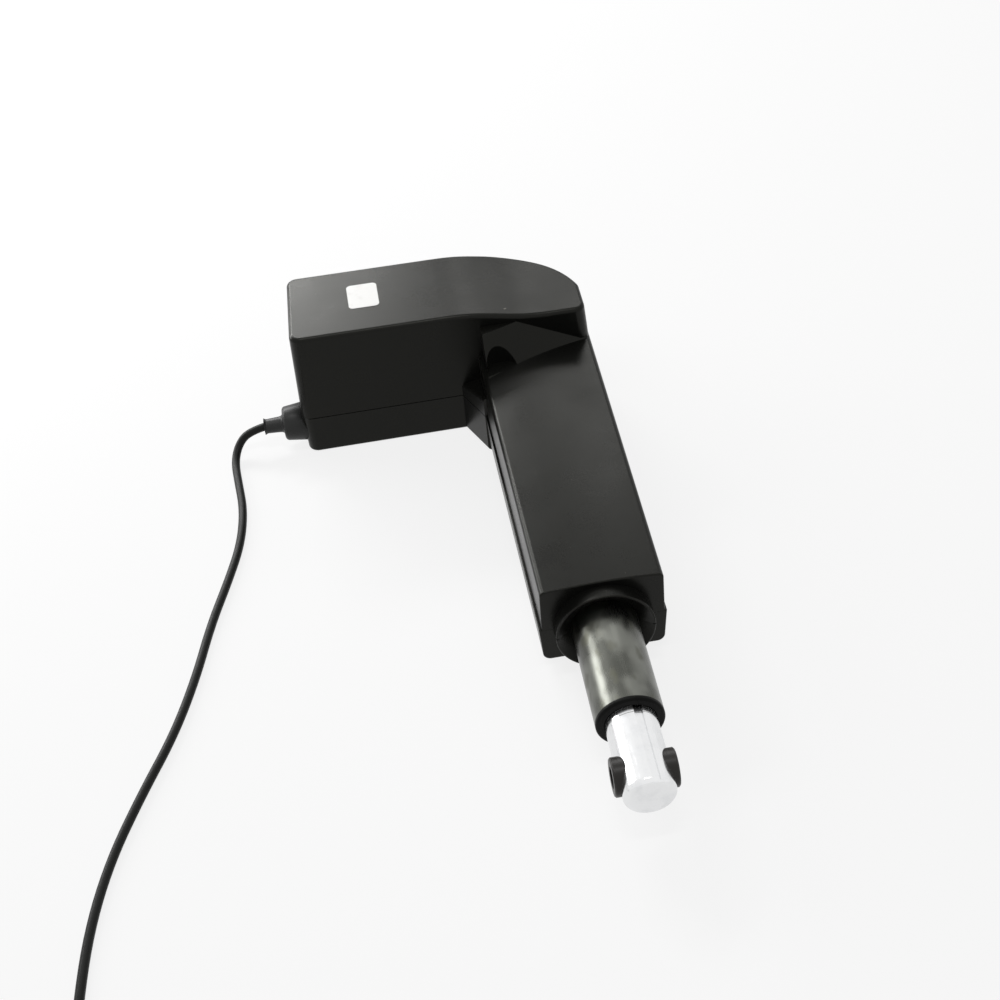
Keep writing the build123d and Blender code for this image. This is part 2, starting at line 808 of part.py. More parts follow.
def turning_group():
    middle = -motor_end + motor_length * 0.5
    z = centre_distance
    core_start = middle - armature_length / 2
    core = along_x(armature_radius, core_start, core_start + armature_length, motor_y, z)
    core = core - along_x(shaft_radius, core_start - 1, core_start + armature_length + 1, motor_y, z)
    slots = 10
    for step in range(slots):
        cut = block(-100, 0, -1, 1, armature_radius - 6, armature_radius + 2)
        turned = Rot(360 / slots * step, 0, 0) * cut
        core = core - Pos(0, motor_y, z) * turned
    brush_start = core_start - commutator_length - 3
    brush = along_x(commutator_radius, brush_start, brush_start + commutator_length, motor_y, z)
    brush = brush - along_x(shaft_radius, brush_start - 1, core_start, motor_y, z)
    shaft_end = worm_bearing_x + worm_bearing_length
    shaft = along_x(shaft_radius, -motor_end - 2, shaft_end, motor_y, z)
    worm_start = -worm_bearing_x - 9
    worm = along_x(worm_radius, worm_start, worm_bearing_x - 1, motor_y, z)
    worm = worm - along_x(shaft_radius, worm_start - 1, worm_bearing_x, motor_y, z)
    return core, brush, shaft, worm


def worm_bearing():
    start, end = worm_bearing_x, worm_bearing_x + worm_bearing_length
    bush = along_x(worm_bearing_radius, start, end, motor_y, centre_distance)
    hole = shaft_radius + shaft_running
    return bush - along_x(hole, start - 1, end + 1, motor_y, centre_distance)


def board():
    low = floor_z + wall + board_lift
    x0, x1 = board_x - board_length / 2, board_x + board_length / 2
    y0, y1 = board_y - board_depth / 2, board_y + board_depth / 2
    plate = block(x0, x1, y0, y1, low, low + board_thick)
    feet = []
    for x in (x0 + 4, x1 - 4):
        for y in (y0 + 4, y1 - 4):
            feet.append(along_z(2.5, floor_z + wall, low, x, y))
    blocks = []
    top = low + board_thick
    for step in range(3):
        x = x0 + 8 + step * terminal_pitch
        box = block(x, x + terminal_size, y0 + 3, y0 + 3 + terminal_size, top, top + terminal_size)
        hole = along_z(1.8, top + 4, top + 12, x + terminal_size / 2, y0 + 3 + terminal_size / 2)
        blocks.append(box - hole)
    blocks.append(along_z(5.0, top, top + 9, x1 - 12, y1 - 12))
    return plate, feet, blocks


def switches():
    """Strip above the tube with a travel switch near each end of the nut's way."""
    half = switch_height / 2
    back = -rod_inner_start + 4
    far = -rod_inner_start - stroke + 4
    rail_top = switch_base + switch_rail_thick
    rail = block(-half, half, far - 8, back + 2, switch_base, rail_top)
    bodies = []
    for y in (back - switch_length, far):
        body = block(1 - half, half - 1, y, y + switch_length, switch_base - switch_thick, switch_base)
        low = nut_lug_reach + lug_gap
        pip = block(-1.5, 1.5, y + 7, y + 11, low, switch_base - switch_thick)
        bodies.append(body + pip)
    return rail, bodies


def gland():
    start = -head_left + 0.4
    body = along_x(gland_radius, start - gland_length, start + 1.5, gland_y, gland_z)
    body = fillet(body.faces().sort_by(Axis.X)[0].edges(), 1.6)
    body = body - head(0)
    face = Plane(origin=(start - gland_length, gland_y, gland_z), z_dir=(-1, 0, 0))
    cone = loft([face * Circle(gland_radius * 0.62), face.offset(gland_cone) * Circle(gland_sleeve_radius)])
    sleeve = along_x(gland_sleeve_radius, -gland_sleeve_end, start - gland_length - 1, gland_y, gland_z)
    lip = along_x(gland_sleeve_radius + gland_lip, -gland_sleeve_end, -gland_sleeve_end + 2.5, gland_y, gland_z)
    neck = along_x(gland_neck_radius, start - 0.5, -head_left + wall + 2.0, gland_y, gland_z)
    inner = -head_left + wall + 1.9
    flange = along_x(gland_neck_radius + 2, inner, inner + gland_flange, gland_y, gland_z)
    return body + cone + sleeve + lip + neck + flange


def label():
    """Thin sticker that lies on the sloping top face."""
    top_here = head_top_motor + roof_fall * (swell_start - label_x)
    tilt = math.degrees(math.atan(roof_fall))
    with BuildSketch() as face:
        RectangleRounded(label_length, label_width, label_corner)
    plate = extrude(face.sketch, amount=label_thick)
    return Pos(label_x, label_y, top_here) * Rot(0, tilt, 0) * plate


def lead_route():
    """Points of the lead on the table, from the sleeve to the coil."""
    start = (-gland_sleeve_end, gland_y, gland_z)
    free = [
        start,
        (-203.0, -72.4, -15.6),
        (-211.2, -76.0, -22.4),
        (-215.2, -88.0, cable_z),
        (-213.6, -110.0, cable_z),
        (-211.3, -138.0, cable_z),
        (-214.6, -170.0, cable_z),
        (-224.0, -202.0, cable_z),
        (-236.2, -238.0, cable_z),
        (-246.6, -280.0, cable_z),
        (-260.6, -322.0, cable_z),
        (-279.6, -362.0, cable_z),
        (-297.0, -404.0, cable_z),
        (-309.4, -448.0, cable_z),
        (-317.8, -498.0, cable_z),
        (coil_x + coil_middle, coil_y, cable_z),
    ]
    return free


def tube_along(points, radius):
    vectors = [Vector(*p) for p in points]
    radii = []
    for before, here, after in zip(vectors, vectors[1:], vectors[2:]):
        turn = (here - before).get_angle(after - here)
        shorter = min((here - before).length, (after - here).length)
        radii.append(0.45 * shorter / math.tan(math.radians(turn) / 2))
    path = FilletPolyline(*points, radius=radii)
    start = Plane(origin=points[0], z_dir=vectors[1] - vectors[0])
    tube = sweep(start * Circle(radius), path=path)
    print("tube", round(path.length, 1), "least radius", round(min(radii), 1))
    print("tube volume share", round(tube.volume / (math.pi * radius**2 * path.length), 4))
    return tube


def cable_coil():
    """Outer shape of the wound turns: a flat ring with rounded sides."""
    reach = coil_columns * cable_radius
    height = coil_layers * 2 * cable_radius
    with BuildSketch(Plane.XZ) as section:
        with Locations((coil_middle, height / 2)):
            RectangleRounded(2 * reach, height, cable_radius * 0.95)
    body = revolve(section.sketch, Axis.Z, 360)
    return Pos(coil_x, coil_y, floor_z) * body


def beside_coil(along, out, z):
    """A point beside the coil, from the middle of its far side: along its edge, then outwards."""
    return (coil_x - out, coil_y + along, z)


def cable_tail():
    """Last part of the lead: it leaves the coil's outer turn and swings round to the plug."""
    outer = coil_middle + coil_columns * cable_radius
    line = outer + plug_radius + plug_gap
    lift = floor_z + plug_radius
    start = math.radians(tail_start_turn)
    reach = outer - cable_radius
    return [
        beside_coil(-reach * math.sin(start), reach * math.cos(start), cable_z),
        beside_coil(plug_start - 28.5, line - 29.4, cable_z),
        beside_coil(plug_start - 25.6, line - 16.9, cable_z),
        beside_coil(plug_start - 19.5, line - 6.5, (cable_z + lift) / 2),
        beside_coil(plug_start - 11.0, line - 1.3, lift),
        beside_coil(plug_start, line, lift),
    ]


def plug(tail):
    end, before = Vector(*tail[-1]), Vector(*tail[-2])
    along = (end - before).normalized()
    collar = Plane(origin=end, z_dir=along)
    body = loft([collar * Circle(cable_radius + 0.9), collar.offset(plug_collar_length) * Circle(plug_collar_radius)])
    grip = collar.offset(plug_collar_length)
    body = body + extrude(grip * Circle(plug_radius), amount=plug_length - plug_collar_length)
    front = collar.offset(plug_length)
    shell = extrude(front * Circle(shell_radius), amount=shell_length)
    shell = shell - extrude(front.offset(1) * Circle(shell_radius - shell_wall), amount=shell_length)
    for x in (-1.7, 1.7):
        shell = shell + extrude(front.offset(0.9) * Pos(x, 0) * Circle(0.6), amount=shell_length - 3)
    return body, shell


def cable_tie():
    """Band over the turns. It is pinched flat under them."""
    inner = coil_columns * cable_radius + tie_gap
    height = coil_layers * 2 * cable_radius + tie_gap
    round_in = cable_radius * 0.95
    with BuildSketch(Plane.XZ) as band:
        with Locations((coil_middle, 0)):
            RectangleRounded(2 * (inner + tie_thick), 2 * (height + tie_thick), round_in + tie_thick)
            RectangleRounded(2 * inner, 2 * height, round_in, mode=Mode.SUBTRACT)
    body = extrude(band.sketch, amount=tie_width / 2, both=True)
    body = body & block(0, 100, -50, 50, 0, 40)
    return Pos(coil_x, coil_y, floor_z) * Rot(0, 0, tie_turn) * body


def main():
    os.makedirs("parts", exist_ok=True)
    upper, lower = shells()
    rear_outer, rear_inner, rear_balls = bearing(-wheel_y + wheel_width / 2)
    front_start = -wheel_y - wheel_width / 2 - collar_width - bearing_width - 0.5
    front_outer, front_inner, front_balls = bearing(front_start)
    core, brush, shaft, worm = turning_group()
    plate, feet, blocks = board()
    rail, switch_bodies = switches()
    lower = lower + feet[0] + feet[1] + feet[2] + feet[3]
    tail = cable_tail()
    plug_body, plug_shell = plug(tail)
    collar_end = -wheel_y - wheel_width / 2
    parts = {
        "front_shell": upper,
        "rear_shell": lower,
        "shell_screws": shell_screws(),
        "outer_tube": outer_tube(),
        "guide_ring": guide_ring(),
        "wiper_seal": wiper_seal(),
        "lifting_rod": lifting_rod(),
        "rod_end": rod_end(),
        "rod_end_bush": cross_bush(),
        "spindle": spindle(),
        "spindle_nut": spindle_nut(),
        "spindle_tip_guide": tip_guide(),
        "worm_wheel": worm_wheel(),
        "wheel_collar": ring(wheel_hub_radius - 3, bearing_bore, collar_end - collar_width, collar_end),
        "rear_bearing_outer": rear_outer,
        "rear_bearing_inner": rear_inner,
        "rear_bearing_balls": rear_balls,
        "front_bearing_outer": front_outer,
        "front_bearing_inner": front_inner,
        "front_bearing_balls": front_balls,
        "bearing_carrier": bearing_carrier(),
        "rear_mount": rear_mount(),
        "rear_bush": rear_bush(),
        "motor_can": motor_can(),
        "motor_end_plate": motor_end_plate(),
        "motor_screws": motor_screws(),
        "motor_magnets": motor_magnets(),
        "armature": core,
        "commutator": brush,
        "motor_shaft": shaft,
        "worm": worm,
        "worm_bearing": worm_bearing(),
        "terminal_board": plate,
        "terminal_blocks": blocks,
        "switch_rail": rail,
        "limit_switches": switch_bodies,
        "cable_gland": gland(),
        "cable": tube_along(lead_route(), cable_radius),
        "cable_coil": cable_coil(),
        "cable_tail": tube_along(tail, cable_radius),
        "cable_tie": cable_tie(),
        "plug_body": plug_body,
        "plug_shell": plug_shell,
        "label": label(),
    }
    for name, made in parts.items():
        shape = Compound(children=[s for m in made for s in m.solids()]) if isinstance(made, list) else made
        export_step(shape, f"parts/{name}.step")
        print(name, len(shape.solids()), round(shape.volume))


main()
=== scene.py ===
import bpy
import numpy as np
from mathutils import Matrix, Vector


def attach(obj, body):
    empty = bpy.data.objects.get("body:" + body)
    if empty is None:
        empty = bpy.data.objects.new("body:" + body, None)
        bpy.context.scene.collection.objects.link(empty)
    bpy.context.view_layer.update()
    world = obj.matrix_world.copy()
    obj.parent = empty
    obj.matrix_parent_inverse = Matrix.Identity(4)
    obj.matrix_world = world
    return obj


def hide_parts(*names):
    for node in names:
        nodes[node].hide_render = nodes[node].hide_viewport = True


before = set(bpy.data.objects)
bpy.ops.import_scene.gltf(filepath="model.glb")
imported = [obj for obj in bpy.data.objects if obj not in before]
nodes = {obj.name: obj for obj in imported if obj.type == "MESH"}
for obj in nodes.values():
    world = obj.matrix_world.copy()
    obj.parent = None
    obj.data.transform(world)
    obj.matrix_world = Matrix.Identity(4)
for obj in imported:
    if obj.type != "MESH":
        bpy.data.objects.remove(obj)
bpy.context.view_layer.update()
scene = bpy.context.scene
mm = 0.001
print("frame loaded:", len(nodes), "pieces")


def linked(made):
    scene.collection.objects.link(made)
    return made


# smooth step: three times the value squared less twice its cube, with the value held between 0 and 1
def eased(value):
    value = np.clip(value, 0.0, 1.0)
    return value * value * (3 - 2 * value)


# a mesh from a grid of points, in millimetres: each point joins the next in its row and in its column,
# and where the rows are rings, the last point of a row joins its first and the two end rings are filled
def gridMesh(name, points, rings=True):
    rows, columns = points.shape[:2]
    index = np.arange(rows * columns).reshape(rows, columns)
    if rings:
        index = np.hstack([index, index[:, :1]])
    quads = np.stack([index[:-1, :-1], index[:-1, 1:], index[1:, 1:], index[1:, :-1]], axis=-1)
    faces = quads.reshape(-1, 4).tolist()
    if rings:
        faces.append(index[0, :-1][::-1].tolist())
        faces.append(index[-1, :-1].tolist())
    mesh = bpy.data.meshes.new(name)
    mesh.from_pydata((points.reshape(-1, 3) * mm).tolist(), [], faces)
    mesh.validate()
    mesh.update()
    return mesh


def piece(name, points, body, replaced):
    mesh = gridMesh(name, points)
    mesh.polygons.foreach_set("use_smooth", np.full(len(mesh.polygons), True))
    made = linked(bpy.data.objects.new(name, mesh))
    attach(made, body)
    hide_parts(replaced)
    return made


photoView = {
    "place": (-0.10703, -0.98198, 0.74720),
    "right": (0.985484, -0.151623, -0.076370),
    "up": (0.159574, 0.673747, 0.721527),
    "back": (-0.057946, -0.723240, 0.688162),
    "lens": 61.164,
    "sensor": 36.0,
    "reach": 20.0,
}

cameraData = bpy.data.cameras.new("camera")
cameraData.sensor_width = photoView["sensor"]
cameraData.lens = photoView["lens"]
cameraData.clip_end = photoView["reach"]
camera = linked(bpy.data.objects.new("camera", cameraData))
axes = Matrix((photoView["right"], photoView["up"], photoView["back"])).transposed()
camera.matrix_world = Matrix.Translation(photoView["place"]) @ axes.to_4x4()
scene.camera = camera
scene.view_settings.view_transform = "Standard"

# rest is the height of the lead's middle on the floor, cross the part of each turn in which the lead goes
# over to the next radius, and climb the turns in which it rises to the second layer
lead = {
    "radius": 2.8,
    "rest": -27.5,
    "route": [
        (-191.5, -72.0, -13.5), (-203.0, -72.4, -15.6), (-211.2, -76.0, -22.4), (-215.2, -88.0, -27.5),
        (-213.6, -110.0, -27.5), (-211.3, -138.0, -27.5), (-214.6, -170.0, -27.5), (-224.0, -202.0, -27.5),
        (-236.2, -238.0, -27.5), (-246.6, -280.0, -27.5), (-260.6, -322.0, -27.5), (-279.6, -362.0, -27.5),
        (-297.0, -404.0, -27.5), (-308.0, -448.0, -27.5), (-313.0, -498.0, -27.5), (-313.6, -534.0, -27.5),
    ],
    "coilCentre": (-350.0, -548.0),
    "coilRadii": (36.6, 31.0, 25.4, 25.4, 31.0, 36.6),
    "coilTurns": 5.27,
    "coilSteps": 18,
    "cross": (0.80, 0.95),
    "climb": (2.55, 2.95),
    "tail": [
        (-366.5, -584.5, -22.1), (-379.0, -581.6, -22.9), (-389.4, -575.5, -23.7),
        (-394.6, -567.0, -24.1), (-395.9, -556.0, -24.1),
    ],
    "length": 1.57,
    "roundness": 5,
    "smoothness": 6,
}


# coil: the lead goes round clockwise, a radius to each turn, and eases over to the next radius; halfway it
# rises by its own thickness
def coilPoints(spec):
    turn = np.arange(0.0, spec["coilTurns"], 1.0 / spec["coilSteps"])
    whole = turn.astype(int)
    radii = np.array(spec["coilRadii"])
    following = radii[np.minimum(whole + 1, len(radii) - 1)]
    crossFrom, crossTo = spec["cross"]
    share = eased((turn - whole - crossFrom) / (crossTo - crossFrom))
    radius = radii[whole] + share * (following - radii[whole])
    radius = radius / np.cos(np.pi / spec["coilSteps"])
    climbFrom, climbTo = spec["climb"]
    rise = eased((turn - climbFrom) / (climbTo - climbFrom))
    angle = -2 * np.pi * turn
    x = spec["coilCentre"][0] + radius * np.cos(angle)
    y = spec["coilCentre"][1] + radius * np.sin(angle)
    return np.stack([x, y, spec["rest"] + 2 * spec["radius"] * rise], axis=1).tolist()


# the line's points carry the lead's radius, so its section is a circle of radius one
leadPoints = lead["route"] + coilPoints(lead) + lead["tail"]
leadCurve = bpy.data.curves.new("leadCord", "CURVE")
leadCurve.dimensions = "3D"
leadCurve.bevel_depth = 1.0
leadCurve.bevel_resolution = lead["roundness"]
leadCurve.resolution_u = lead["smoothness"]
leadCurve.use_fill_caps = True
leadLine = leadCurve.splines.new("NURBS")
leadLine.points.add(len(leadPoints) - 1)
leadLine.points.foreach_set("co", (np.c_[np.array(leadPoints) * mm, np.ones(len(leadPoints))]).ravel())
leadLine.points.foreach_set("radius", np.full(len(leadPoints), lead["radius"] * mm))
leadLine.order_u = 3
leadLine.use_endpoint_u = True
leadCord = linked(bpy.data.objects.new("leadCord", leadCurve))
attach(leadCord, "housing")
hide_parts("cable", "cable_coil", "cable_tail")
print("camera and lead made:", len(leadPoints), "points in the lead")


def ringAngles(spec):
    return np.linspace(0, 2 * np.pi, spec["across"], endpoint=False)


# rings round an axis: each point is the axis at its place plus its radius times the angle's cosine to one
# side and sine to the other; radius has a row for each place and one column, or one for each angle
def ringPoints(places, radius, spec):
    line = Vector(spec["axis"])
    side = Vector((0.0, 0.0, 1.0))
    angle = ringAngles(spec)
    circle = np.outer(np.cos(angle), side) + np.outer(np.sin(angle), line.cross(side))
    spine = np.array(spec["origin"]) + np.outer(places, line)
    return spine[:, None, :] + radius[..., None] * circle[None]


# thread height, 0 at the root and 1 at the crest: the distance along less the advance for the angle, as a
# share of the pitch, gives a wave that is flat at root and crest and eased on its flanks
def threadHeight(along, angle, spec):
    starts = spec["starts"]
    phase = (along / (spec["pitch"] * starts) - angle / (2 * np.pi)) * starts % 1.0
    fromRoot = 0.5 - np.abs(phase - 0.5)
    return eased((fromRoot - 0.5 * spec["rootShare"]) / spec["flank"])


# threaded rod: the radius is the root plus the depth times the thread's height, which fades out towards both
# ends of the thread; before and after it come shanks, as pairs of distance from the thread and radius
def threadedRod(spec):
    start, end = spec["span"]
    along = np.arange(0.0, end - start, spec["step"])
    fade = eased(np.minimum(along, along[-1] - along) / spec["runOut"])[:, None]
    height = threadHeight(along[:, None], ringAngles(spec)[None], spec)
    cut = spec["root"] + (spec["crest"] - spec["root"]) * height * fade
    before = np.array(spec["before"])
    after = np.array(spec["after"])
    radius = np.vstack([np.repeat(before[:, 1:], spec["across"], axis=1), cut,
                        np.repeat(after[:, 1:], spec["across"], axis=1)])
    places = np.concatenate([along[0] - before[:, 0], along, along[-1] + after[:, 0]])
    return ringPoints(places + start, radius, spec)


spindleThread = {
    "origin": (0.0, 0.0, 0.0),
    "axis": (0.0, -1.0, 0.0),
    "span": (76.5, 348.5),
    "before": [(40.0, 5.5), (6.0, 5.5), (5.4, 6.1), (0.6, 6.1)],
    "after": [(0.6, 5.5), (9.0, 5.5), (9.5, 5.0)],
    "root": 6.1,
    "crest": 7.0,
    "pitch": 3.0,
    "starts": 4,
    "rootShare": 0.4,
    "flank": 0.28,
    "step": 0.3,
    "across": 96,
    "runOut": 6.0,
}

wormThread = {
    "origin": (0.0, -52.5, 32.0),
    "axis": (1.0, 0.0, 0.0),
    "span": (-21.5, 11.5),
    "before": [(0.0, 3.1), (0.0, 4.2)],
    "after": [(0.0, 4.2), (0.0, 3.1)],
    "root": 4.3,
    "crest": 6.0,
    "pitch": 3.927,
    "starts": 2,
    "rootShare": 0.4,
    "flank": 0.3,
    "step": 0.15,
    "across": 72,
    "runOut": 2.0,
}

# boss is pairs of distance from the origin and radius; its rounded rim starts at the last of them
sleeve = {
    "origin": (0.0, -72.0, -13.5),
    "axis": (-1.0, 0.0, 0.0),
    "boss": [(154.0, 9.6), (158.0, 9.8), (160.5, 13.8), (175.4, 11.9)],
    "rim": 2.6,
    "rimSteps": 8,
    "span": (178.2, 191.5),
    "root": 5.6,
    "tip": 4.9,
    "foot": 1.4,
    "footWidth": 0.7,
    "flare": 0.9,
    "flareWidth": 1.1,
    "mouth": 3.0,
    "step": 0.25,
    "across": 72,
}


# strain relief: a boss whose rim is a quarter circle, then a sleeve whose radius falls evenly from root to
# tip, plus a foot that dies away from the boss and a mouth that swells like a bell
def sleeveProfile(spec):
    rimAlong, rimRadius = spec["boss"][-1]
    turn = np.linspace(0, np.pi / 2, spec["rimSteps"])
    rimPlaces = rimAlong + spec["rim"] * np.sin(turn)
    rimRadii = rimRadius - spec["rim"] * (1 - np.cos(turn))
    rim = np.stack([rimPlaces, rimRadii], axis=1)
    start, end = spec["span"]
    along = np.arange(start, end, spec["step"])
    taper = spec["root"] + (spec["tip"] - spec["root"]) * (along - start) / (end - start)
    foot = spec["foot"] * np.exp(-(along - start) / spec["footWidth"])
    bell = spec["flare"] * np.exp(-(((end - along) / spec["flareWidth"]) ** 2))
    hose = np.stack([along, taper + foot + bell], axis=1)
    return np.vstack([spec["boss"][:-1], rim, hose, [(end, spec["mouth"])]])


spindleScrew = piece("spindleScrew", threadedRod(spindleThread), "spindle_group", "spindle")
wormScrew = piece("wormScrew", threadedRod(wormThread), "motor_rotor", "worm")
reliefRows = sleeveProfile(sleeve)
reliefPoints = ringPoints(reliefRows[:, 0], reliefRows[:, 1:], sleeve)
strainRelief = piece("strainRelief", reliefPoints, "housing", "cable_gland")
print("screws and strain relief made")


# a varying number on a surface, which takes ordinary arithmetic
class Amount:
    def __init__(self, wiring, socket):
        self.wiring = wiring
        self.socket = socket

    def reckon(self, operation, first, second):
        return self.wiring.node("ShaderNodeMath", {"operation": operation}, {0: first, 1: second})

    def __add__(self, other):
        return self.reckon("ADD", self, other)

    def __radd__(self, other):
        return self.reckon("ADD", other, self)

    def __sub__(self, other):
        return self.reckon("SUBTRACT", self, other)

    def __rsub__(self, other):
        return self.reckon("SUBTRACT", other, self)

    def __mul__(self, other):
        return self.reckon("MULTIPLY", self, other)

    def __rmul__(self, other):
        return self.reckon("MULTIPLY", other, self)

    def above(self, edge):
        return self.reckon("GREATER_THAN", self, edge)

    # 0 below the first value and 1 above the second, smoothly between
    def between(self, low, high):
        settings = {"interpolation_type": "SMOOTHSTEP"}
        inputs = {"Value": self, "From Min": low, "From Max": high}
        return self.wiring.node("ShaderNodeMapRange", settings, inputs)


# the nodes of a material or of the world
class Wiring:
    def __init__(self, owner):
        owner.use_nodes = True
        self.tree = owner.node_tree

    # every node is made here: its settings first, then the values or links of its sockets
    def node(self, kind, settings=None, inputs=None, output=0):
        made = self.tree.nodes.new(kind)
        for name, value in (settings or {}).items():
            setattr(made, name, value)
        for name, value in (inputs or {}).items():
            self.join(made.inputs[name], value)
        return Amount(self, made.outputs[output])

    def join(self, socket, value):
        if isinstance(value, Amount):
            self.tree.links.new(value.socket, socket)
        elif isinstance(value, tuple) and len(value) == 3 and socket.type == "RGBA":
            socket.default_value = (*value, 1.0)
        else:
            socket.default_value = value


# a material; sizes of its patterns and heights of its bumps are in millimetres
class Finish(Wiring):
    def __init__(self, name):
        self.material = bpy.data.materials.new(name)
        super().__init__(self.material)
        self.shader = self.tree.nodes["Principled BSDF"]
        self.place = self.node("ShaderNodeTexCoord", output="Object")

    def scaled(self, size, stretch=(1.0, 1.0, 1.0), shift=(0.0, 0.0, 0.0)):
        scale = tuple(1.0 / (size * mm * amount) for amount in stretch)
        return self.node("ShaderNodeMapping", None, {"Vector": self.place, "Location": shift, "Scale": scale})

    def noise(self, size, detail=2.0, stretch=(1.0, 1.0, 1.0), shift=(0.0, 0.0, 0.0)):
        inputs = {"Vector": self.scaled(size, stretch, shift), "Scale": 1.0, "Detail": detail}
        return self.node("ShaderNodeTexNoise", None, inputs)

    def cells(self, size):
        inputs = {"Vector": self.scaled(size), "Scale": 1.0}
        return self.node("ShaderNodeTexVoronoi", None, inputs, "Distance")

    # inputs 6 and 7 and output 2 are the mix node's colours
    def colours(self, factor, low, high):
        return self.node("ShaderNodeMix", {"data_type": "RGBA"}, {0: factor, 6: low, 7: high}, 2)

    def axis(self, index):
        return self.node("ShaderNodeSeparateXYZ", None, {0: self.place}, index)

    def bump(self, height):
        bumped = self.node("ShaderNodeBump", None, {"Strength": 1.0, "Distance": mm, "Height": height})
        self.join(self.shader.inputs["Normal"], bumped)

    def set(self, **values):
        for name, value in values.items():
            self.join(self.shader.inputs[name.replace("_", " ")], value)

    def wear(self, *names):
        for name in names:
            made = nodes[name] if isinstance(name, str) else name
            made.data.materials.clear()
            made.data.materials.append(self.material)


# near a straight stroke on the surface, from one point to another, in millimetres: 1 on the stroke and 0 off
# it; the distance is from the place to the nearest point of the stroke
def stroke(finish, ends, width):
    start = Vector(ends[0]) * mm
    run = Vector(ends[1]) * mm - start
    away = finish.node("ShaderNodeVectorMath", {"operation": "SUBTRACT"}, {0: finish.place, 1: tuple(start)})
    along = finish.node("ShaderNodeVectorMath", {"operation": "DOT_PRODUCT"},
                        {0: away, 1: tuple(run / run.length_squared)}, "Value")
    held = finish.node("ShaderNodeClamp", None, {0: along})
    reach = finish.node("ShaderNodeVectorMath", {"operation": "SCALE"}, {0: tuple(run), 3: held})
    gap = finish.node("ShaderNodeVectorMath", {"operation": "DISTANCE"}, {0: away, 1: reach}, "Value")
    return 1 - gap.between(0.3 * width * mm, width * mm)


shellLook = {
    "colour": (0.0060, 0.0061, 0.0054),
    "scuffed": (0.022, 0.022, 0.019),
    "dust": (0.22, 0.21, 0.19),
    "roughness": 0.29,
    "shine": 0.15,
    "tint": (1.0, 1.0, 0.91),
    "grainSize": 0.45,
    "grainHeight": 0.012,
    "handledSize": 42.0,
    "scuffSize": 1.1,
    "scuffStretch": (1.0, 9.0, 1.0),
    "speckSpacing": 7.0,
    "speckEdge": (0.022, 0.035),
    "scratch": ((30.4, -193.0, 31.95), (33.6, -195.0, 31.95)),
    "scratchWidth": 0.45,
    "scratchDepth": 0.03,
    "speck": ((-18.4, -79.2, 60.84), (-17.6, -78.8, 60.84)),
    "speckWidth": 0.8,
}


# moulded case: fine grain, large patches where hands have polished it, short scuffs, dust specks, one scratch
def shellPlastic():
    look = shellLook
    finish = Finish("shellPlastic")
    grain = finish.noise(look["grainSize"], 3.0)
    handled = finish.noise(look["handledSize"], 3.0, shift=(3.1, 0.7, 1.9))
    scuffs = finish.noise(look["scuffSize"], 2.0, look["scuffStretch"]).between(0.66, 0.78)
    scuffs = scuffs * handled.between(0.52, 0.72)
    specks = 1 - finish.cells(look["speckSpacing"]).between(*look["speckEdge"])
    specks = specks * finish.noise(11.0, 0.0, shift=(5.0, 2.0, 8.0)).above(0.56)
    marks = stroke(finish, look["scratch"], look["scratchWidth"])
    spot = stroke(finish, look["speck"], look["speckWidth"])
    base = finish.colours(scuffs * 0.6 + marks * 0.9, look["colour"], look["scuffed"])
    base = finish.colours(specks * 0.5 + spot * 0.7, base, look["dust"])
    finish.set(
        Base_Color=base,
        Roughness=look["roughness"] + (handled - 0.5) * 0.18 + (grain - 0.5) * 0.10 + scuffs * 0.12,
        Specular_IOR_Level=look["shine"],
        Specular_Tint=look["tint"],
    )
    finish.bump(grain * look["grainHeight"] - marks * look["scratchDepth"])
    return finish


tubeLook = {
    "dark": (0.078, 0.080, 0.071),
    "light": (0.165, 0.169, 0.152),
    "stain": (0.060, 0.060, 0.040),
    "stained": 0.5,
    "roughness": 0.28,
    "drawnSize": 0.5,
    "drawnStretch": (1.0, 30.0, 1.0),
    "drawnHeight": 0.002,
    "cloudSize": 17.0,
    "stainSize": 9.0,
}


# drawn metal, dulled by oil: fine lines along it, large soft patches of tone and a few brownish stains
def tubeMetal():
    look = tubeLook
    finish = Finish("tubeMetal")
    fine = finish.noise(look["drawnSize"], 2.0, look["drawnStretch"])
    cloudy = finish.noise(look["cloudSize"], 2.0, (1.0, 1.6, 1.0), (2.0, 4.0, 1.0))
    stains = finish.noise(look["stainSize"], 2.0, (1.0, 1.8, 1.0), (6.0, 1.0, 3.0)).between(0.52, 0.74)
    base = finish.colours(cloudy.between(0.36, 0.66), look["dark"], look["light"])
    base = finish.colours(stains * look["stained"], base, look["stain"])
    finish.set(
        Base_Color=base,
        Metallic=1.0,
        Roughness=look["roughness"] + (fine - 0.5) * 0.05 + (cloudy - 0.5) * 0.12 + stains * 0.08,
    )
    finish.bump(fine * look["drawnHeight"])
    return finish


rodLook = {
    "clean": (0.82, 0.825, 0.83),
    "dull": (0.66, 0.67, 0.685),
    "joint": (0.18, 0.18, 0.17),
    "seam": -396.0,
    "seamEdge": (0.08, 0.26),
    "roughness": 0.18,
    "turnedSize": 0.35,
    "turnedStretch": (40.0, 1.0, 40.0),
    "turnedHeight": 0.0025,
    "rubSize": 0.8,
    "rubStretch": (1.0, 24.0, 1.0),
    "hazeSize": 9.0,
}


